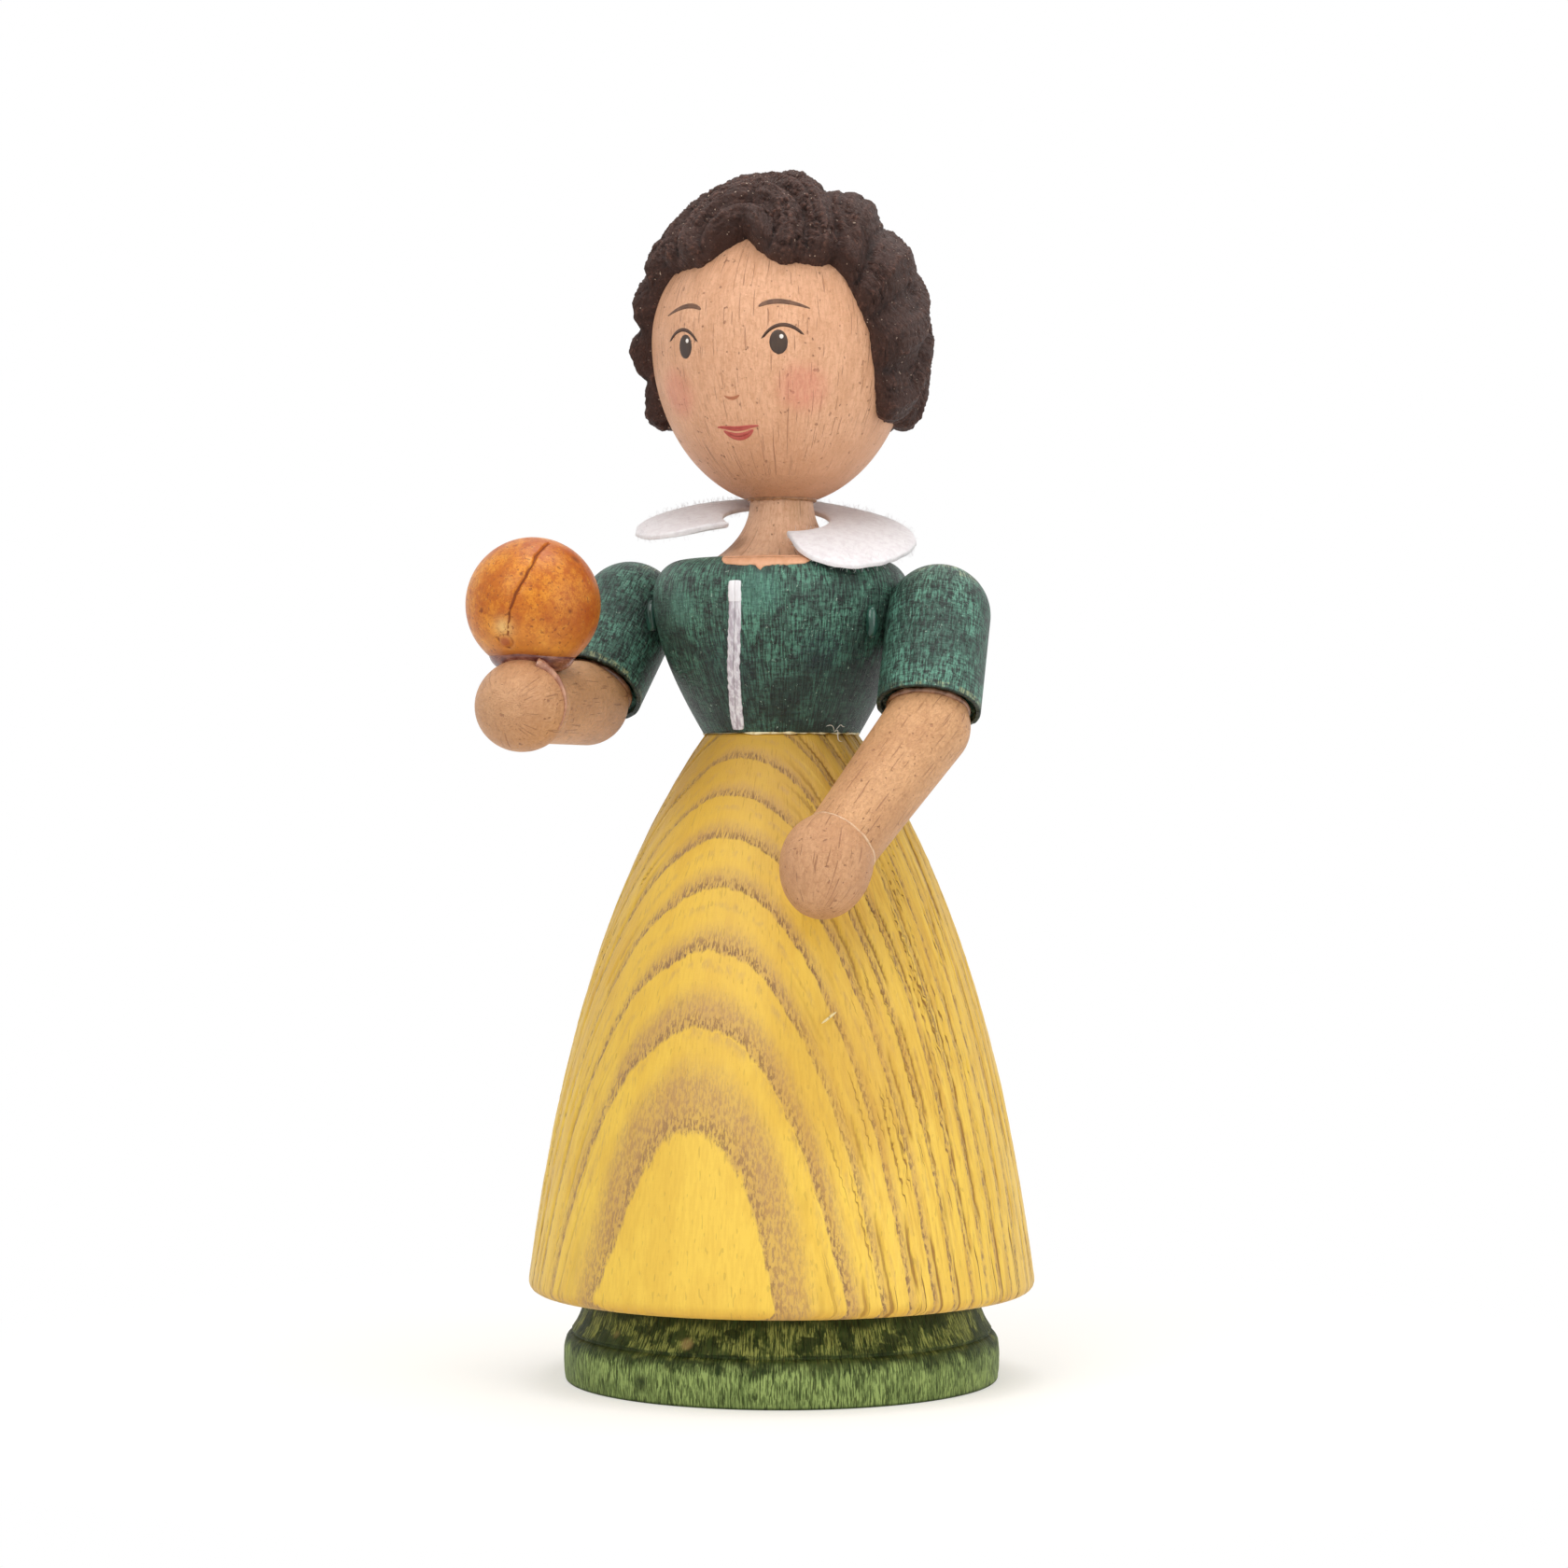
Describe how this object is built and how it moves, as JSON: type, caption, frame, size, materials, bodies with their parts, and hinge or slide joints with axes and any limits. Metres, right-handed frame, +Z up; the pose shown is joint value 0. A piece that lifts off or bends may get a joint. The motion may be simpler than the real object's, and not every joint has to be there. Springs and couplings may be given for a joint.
{
  "type": "turned wooden figure",
  "caption": "Turned and painted wooden figure of a woman in a long skirt on a moulded base, with a white felt collar and one arm bent to hold a ball on the hand.",
  "frame": {"origin": "centre of the flat underside of the base", "axes": "+Z up along the figure's turned axis, -Y where the figure faces, +X to the figure's own left"},
  "size_m": [0.04, 0.0454, 0.0954],
  "materials": {
    "moss_green_wood": "satin green stain with the grain showing",
    "yellow_wood": "satin yellow stain over bold growth rings",
    "pine_green_wood": "satin bottle-green stain with fine upright fibres",
    "skin_painted_wood": "thin satin peach paint with the pores showing",
    "brown_hair_paste": "rough matt chestnut-brown moulded paste",
    "white_felt": "pressed white felt",
    "amber_wood": "glossy amber stain and lacquer",
    "raw_wood": "bare light wood"
  },
  "bodies": {
    "root": {"base": "moss_green_wood", "base_dowel": "raw_wood", "skirt": "yellow_wood", "waist_dowel": "raw_wood", "bodice": "pine_green_wood", "neck": "skin_painted_wood", "head": "skin_painted_wood", "hair_cap": "brown_hair_paste", "hair_knot": "brown_hair_paste", "collar": "white_felt", "sleeve_left": "pine_green_wood", "sleeve_right": "pine_green_wood", "shoulder_peg_left": "raw_wood", "shoulder_peg_right": "raw_wood", "forearm_left": "skin_painted_wood", "forearm_right": "skin_painted_wood", "wrist_peg_left": "raw_wood", "wrist_peg_right": "raw_wood", "hand_left": "skin_painted_wood", "hand_right": "skin_painted_wood", "ball": "amber_wood"}
  },
  "joints": []
}
